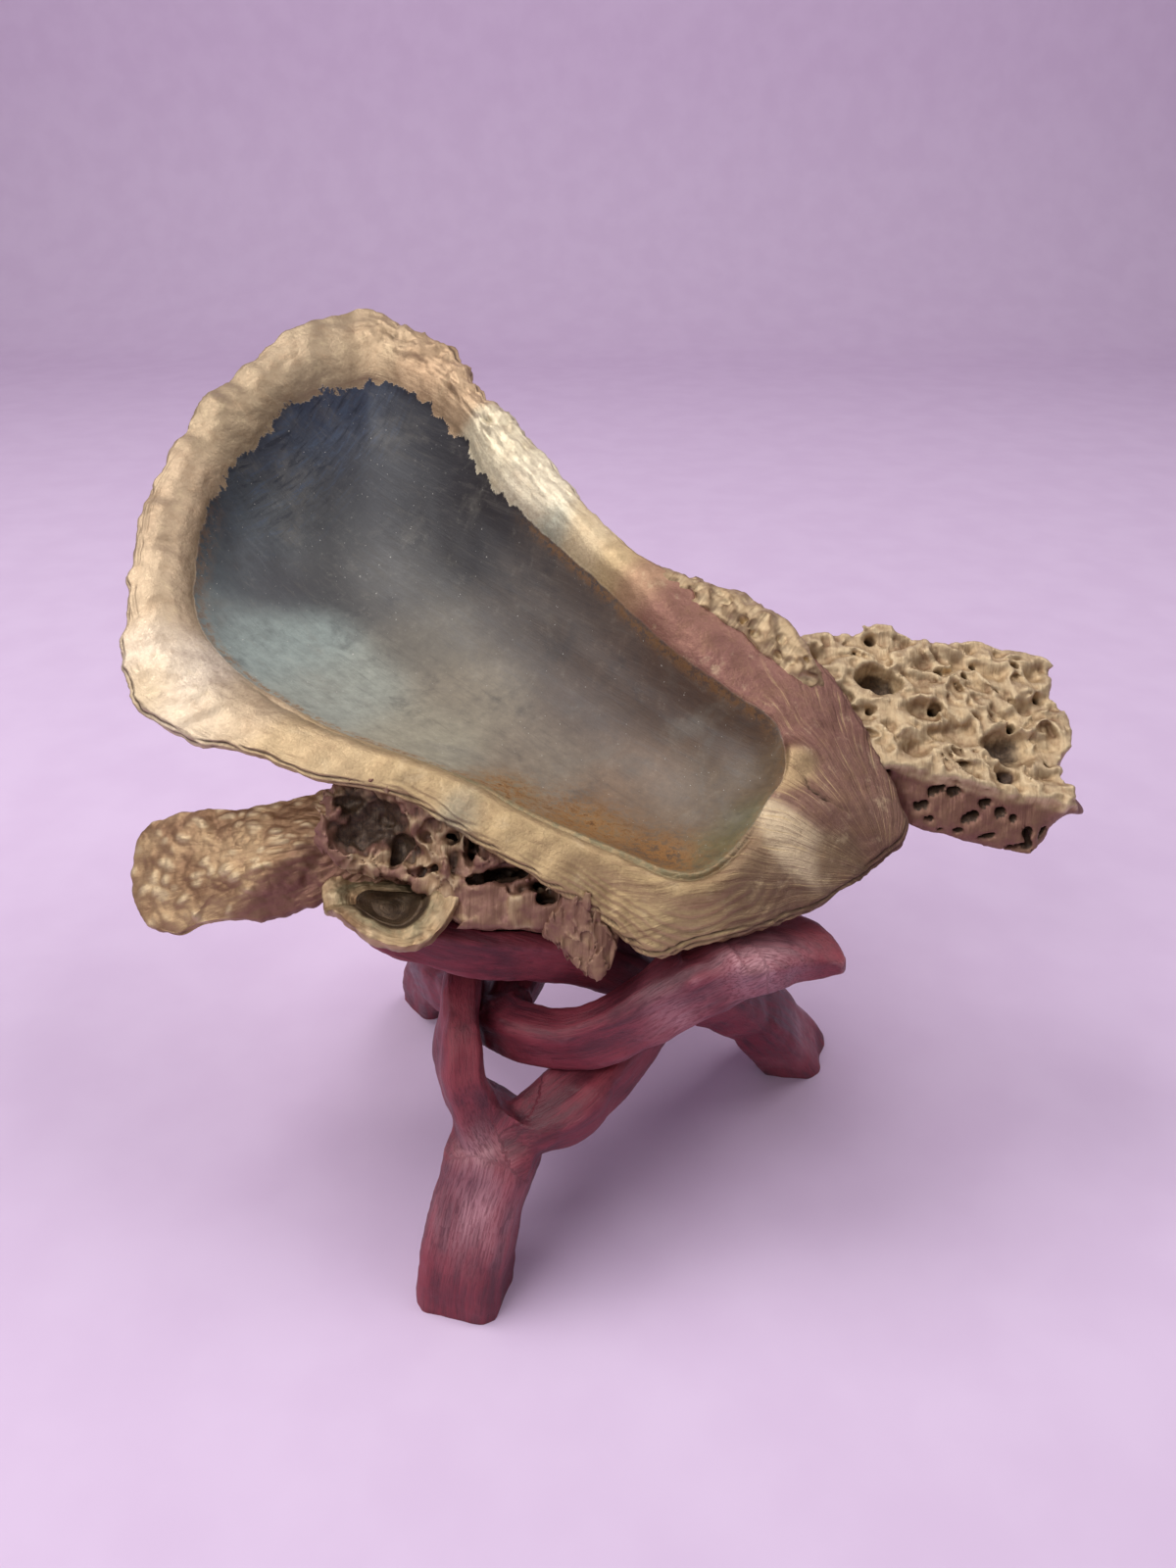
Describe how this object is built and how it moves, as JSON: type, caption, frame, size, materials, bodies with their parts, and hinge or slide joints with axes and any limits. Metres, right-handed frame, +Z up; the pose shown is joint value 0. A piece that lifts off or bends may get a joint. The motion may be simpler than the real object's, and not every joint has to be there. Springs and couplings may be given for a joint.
{
  "type": "painted oyster shell",
  "caption": "Cluster of grown-together oyster shells, painted gold with a dark painted hollow, resting open side up on a carved wooden stand with interlocking legs.",
  "frame": {"origin": "middle of the whole object's box seen from above, on the surface that the feet stand on", "axes": "+X to the right along the longest side, +Y to the back, +Z up; the hinge end of the big valve is at +X and -Y, its wide end at -X and +Y"},
  "size_m": [0.1964, 0.1548, 0.1643],
  "materials": {
    "gold_shell": "satin metallic gold paint on shell, dark blue and grey paint in the hollow",
    "bored_gold_shell": "satin metallic gold paint on shell bored by sponges and worms",
    "rose_gold_shell": "thin gold paint over red-brown broken shell",
    "stained_wood": "burgundy stain, worn along the carved edges, satin wax"
  },
  "bodies": {
    "root": {"main_shell": "gold_shell", "bored_shell": "bored_gold_shell", "bowl_shell": "gold_shell", "fan_shell": "gold_shell", "pointed_shell": "rose_gold_shell", "broken_shell": "rose_gold_shell", "leg_left": "stained_wood", "leg_right": "stained_wood", "leg_front": "stained_wood"}
  },
  "joints": []
}
